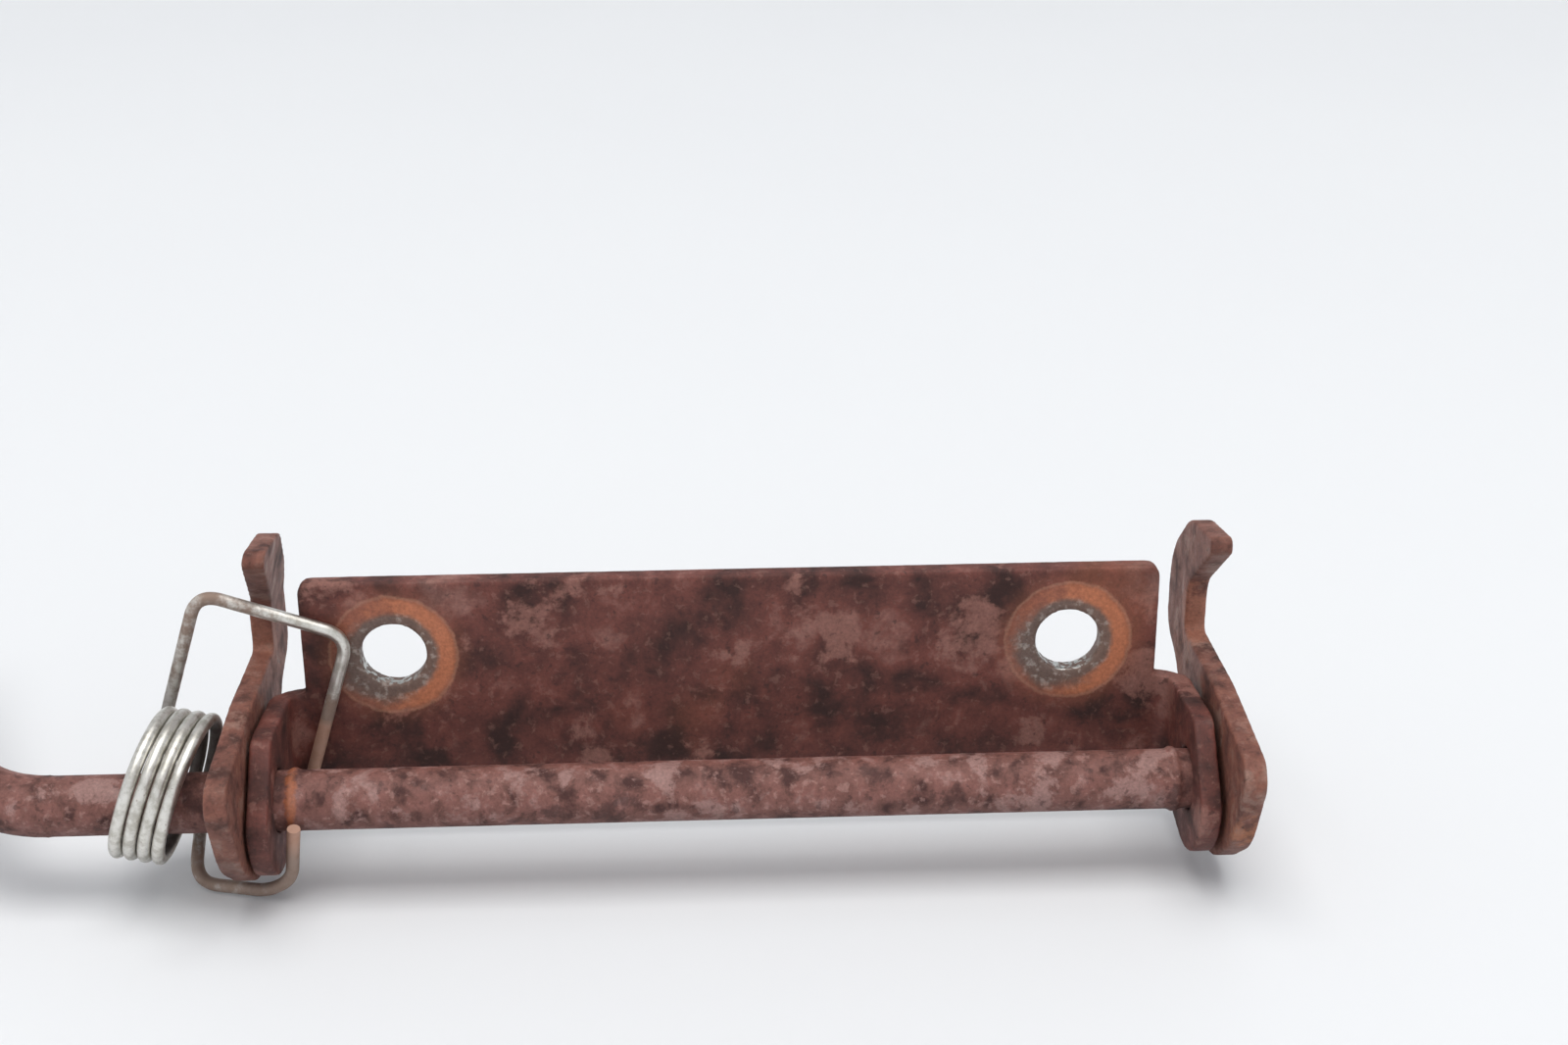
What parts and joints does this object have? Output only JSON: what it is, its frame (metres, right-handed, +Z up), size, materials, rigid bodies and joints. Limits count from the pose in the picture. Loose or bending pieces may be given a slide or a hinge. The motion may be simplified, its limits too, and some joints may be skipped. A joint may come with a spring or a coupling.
{
  "type": "double hook cross shaft latch",
  "caption": "Folded steel bracket with a sprung cross shaft that turns a hook at each end onto a striker, worked by a bent rod handle.",
  "frame": {"origin": "midway between the two bolt holes, on the bracket's mounting face", "axes": "+X along the shaft from the handle's end to the other hook, +Y out of the mounting face into the panel, +Z up towards the beaks of the hooks"},
  "size_m": [0.2332, 0.0875, 0.0527],
  "materials": {
    "rusted_sheet": "mild steel sheet, evenly rusted",
    "rusted_rod": "mild steel rod, evenly rusted",
    "rusted_hook": "mild steel plate, evenly rusted",
    "rusted_weld": "weld metal, rusted",
    "spring_wire": "bright drawn spring wire"
  },
  "bodies": {
    "bracket": {"mounting_bracket": "rusted_sheet", "return_spring": "spring_wire"},
    "turning_shaft": {"cross_shaft": "rusted_rod", "left_hook": "rusted_hook", "right_hook": "rusted_hook", "left_hook_weld": "rusted_weld", "right_hook_weld": "rusted_weld"}
  },
  "joints": [
    {"name": "shaft_turn", "type": "hinge", "parent": "bracket", "child": "turning_shaft", "pos_m": [0, -0.0192, -0.017], "axis": [-1, 0, 0], "range_deg": [0, 35], "stiffness_Nm_per_rad": 0.64, "springref_deg": -40.11, "deforming": ["return_spring"]}
  ]
}
